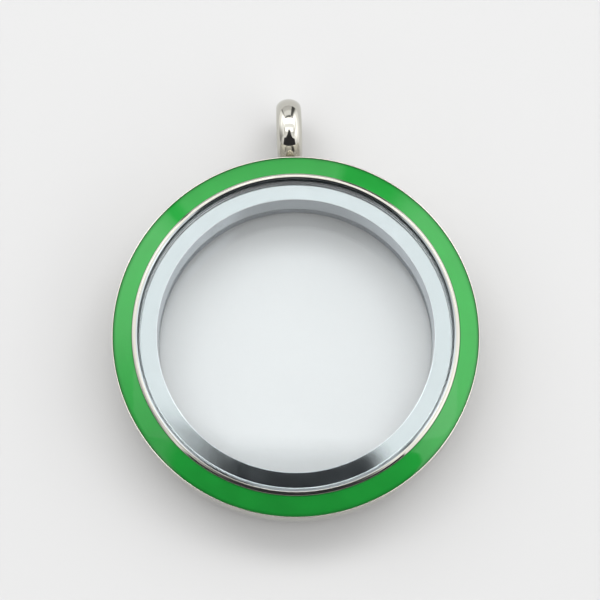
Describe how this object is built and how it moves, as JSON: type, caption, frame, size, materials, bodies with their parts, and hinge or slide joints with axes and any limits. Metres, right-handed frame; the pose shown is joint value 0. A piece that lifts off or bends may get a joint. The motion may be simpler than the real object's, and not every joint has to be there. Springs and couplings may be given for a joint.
{
  "type": "floating locket",
  "caption": "Round pendant locket with glass on both sides, a green enamel ring on its screw-on steel face, and a fixed ring bail.",
  "frame": {"origin": "centre of the locket at the plane of its back rim, which it lies on", "axes": "+Z out of the face through the centres of both glasses, +Y towards the bail, +X along the hole of the bail"},
  "size_m": [0.03, 0.0356, 0.0067],
  "materials": {
    "polished_steel": "mirror polished",
    "green_enamel": "glossy hard enamel",
    "clear_glass": "polished"
  },
  "bodies": {
    "case": {"base_ring": "polished_steel", "back_glass": "clear_glass"},
    "window": {"front_glass": "clear_glass"},
    "face": {"face_ring": "polished_steel", "enamel_ring": "green_enamel"}
  },
  "joints": [
    {"name": "face_lift", "type": "slide", "parent": "case", "child": "window", "axis": [0, 0, 1], "range_m": [0, 0.012]},
    {"name": "face_turn", "type": "hinge", "parent": "window", "child": "face", "pos_m": [0, 0, 0.0043], "axis": [0, 0, 1], "range_deg": [0, 540]}
  ]
}
